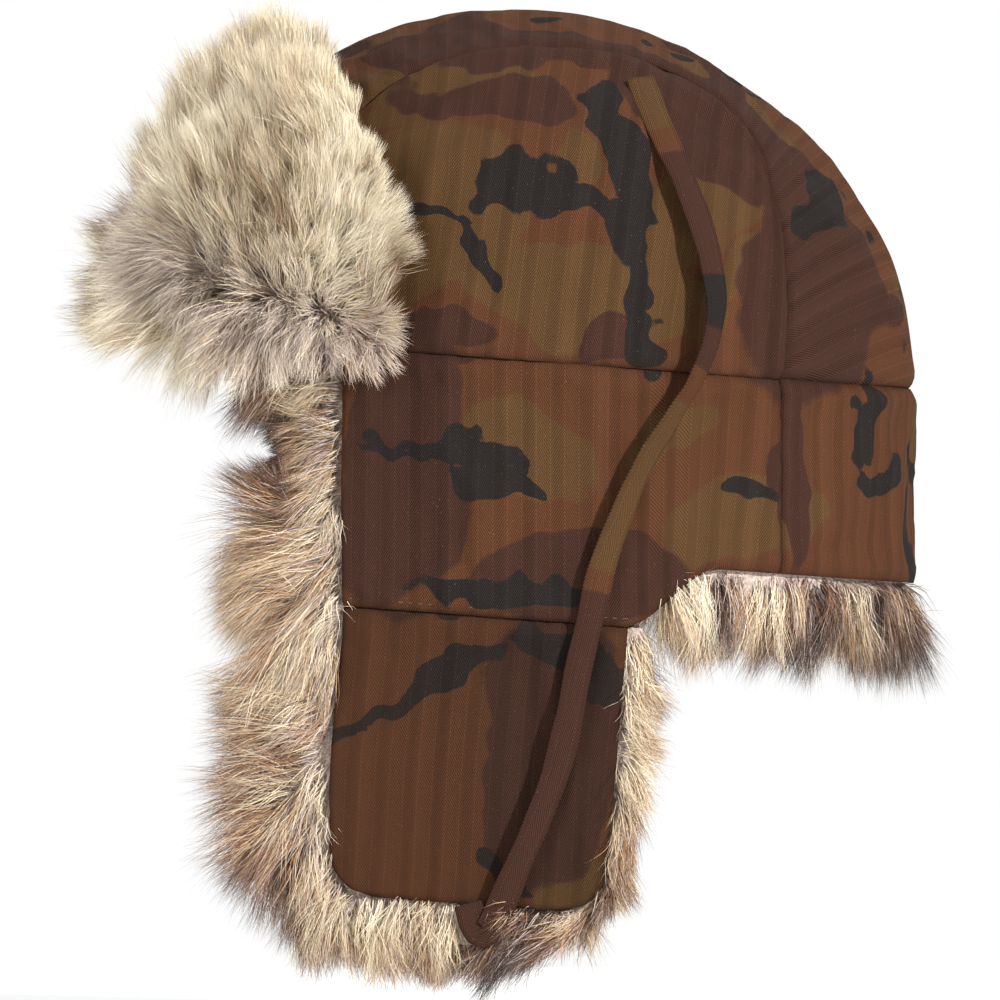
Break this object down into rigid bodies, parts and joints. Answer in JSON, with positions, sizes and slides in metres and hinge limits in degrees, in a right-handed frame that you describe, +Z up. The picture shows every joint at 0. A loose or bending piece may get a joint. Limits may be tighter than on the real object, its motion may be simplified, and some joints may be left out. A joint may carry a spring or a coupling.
{
  "type": "trapper hat",
  "caption": "Camouflage trapper hat with a fur-faced turned-up visor, fur-lined ear flaps with ties, and a fur neck strip.",
  "frame": {"origin": "middle of the head opening, on the seam between crown and band", "axes": "+Z up, -X the way the wearer faces, -Y the wearer's left"},
  "size_m": [0.2651, 0.2304, 0.3081],
  "materials": {
    "camouflage_cloth": "matte",
    "fur": "matte",
    "lining": "satin",
    "wadding": "matte",
    "interlining": "matte",
    "ribbon": "satin",
    "label": "satin"
  },
  "bodies": {
    "root": {"crown_centre_panel": "camouflage_cloth", "crown_side_panel_left": "camouflage_cloth", "crown_side_panel_right": "camouflage_cloth", "crown_wadding_centre": "wadding", "crown_wadding_left": "wadding", "crown_wadding_right": "wadding", "crown_lining_centre": "lining", "crown_lining_left": "lining", "crown_lining_right": "lining", "sweatband": "ribbon", "size_label": "label", "side_band_left": "camouflage_cloth", "side_band_right": "camouflage_cloth", "neck_panel": "camouflage_cloth", "band_interlining_left": "interlining", "band_interlining_right": "interlining", "neck_interlining": "interlining", "band_fur_left": "fur", "band_fur_right": "fur", "neck_fur": "fur", "tie_upper_left": "camouflage_cloth", "tie_upper_right": "camouflage_cloth"},
    "ear_flap_left": {"ear_flap_shell_left": "camouflage_cloth", "ear_flap_interlining_left": "interlining", "ear_flap_fur_left": "fur", "tie_lower_left": "camouflage_cloth"},
    "ear_flap_right": {"ear_flap_shell_right": "camouflage_cloth", "ear_flap_interlining_right": "interlining", "ear_flap_fur_right": "fur", "tie_lower_right": "camouflage_cloth"},
    "visor_middle": {"visor_shell_middle": "camouflage_cloth", "visor_interlining_middle": "interlining", "visor_fur_middle": "fur"},
    "visor_left": {"visor_shell_left": "camouflage_cloth", "visor_interlining_left": "interlining", "visor_fur_left": "fur"},
    "visor_right": {"visor_shell_right": "camouflage_cloth", "visor_interlining_right": "interlining", "visor_fur_right": "fur"}
  },
  "joints": [
    {"name": "ear_flap_left_fold", "type": "hinge", "parent": "root", "child": "ear_flap_left", "pos_m": [-0.018, -0.098, -0.07867], "axis": [-0.991, 0.112, 0.0733], "range_deg": [0, 165]},
    {"name": "ear_flap_right_fold", "type": "hinge", "parent": "root", "child": "ear_flap_right", "pos_m": [-0.018, 0.098, -0.07867], "axis": [0.991, 0.112, -0.0733], "range_deg": [0, 165]},
    {"name": "visor_fold", "type": "hinge", "parent": "root", "child": "visor_middle", "pos_m": [-0.115, 0, 0.01151], "axis": [0, -1, 0], "range_deg": [0, 125]},
    {"name": "visor_left_unroll", "type": "hinge", "parent": "visor_middle", "child": "visor_left", "pos_m": [-0.09799, -0.04623, 0.05429], "axis": [-0.406, -0.1895, -0.894], "range_deg": [0, 36]},
    {"name": "visor_right_unroll", "type": "hinge", "parent": "visor_middle", "child": "visor_right", "pos_m": [-0.09799, 0.04623, 0.05429], "axis": [0.406, -0.1895, 0.894], "range_deg": [0, 36]}
  ],
  "couplings": [
    {"joint": "visor_left_unroll", "follows": "visor_fold", "ratio": 0.28},
    {"joint": "visor_right_unroll", "follows": "visor_fold", "ratio": 0.28}
  ]
}
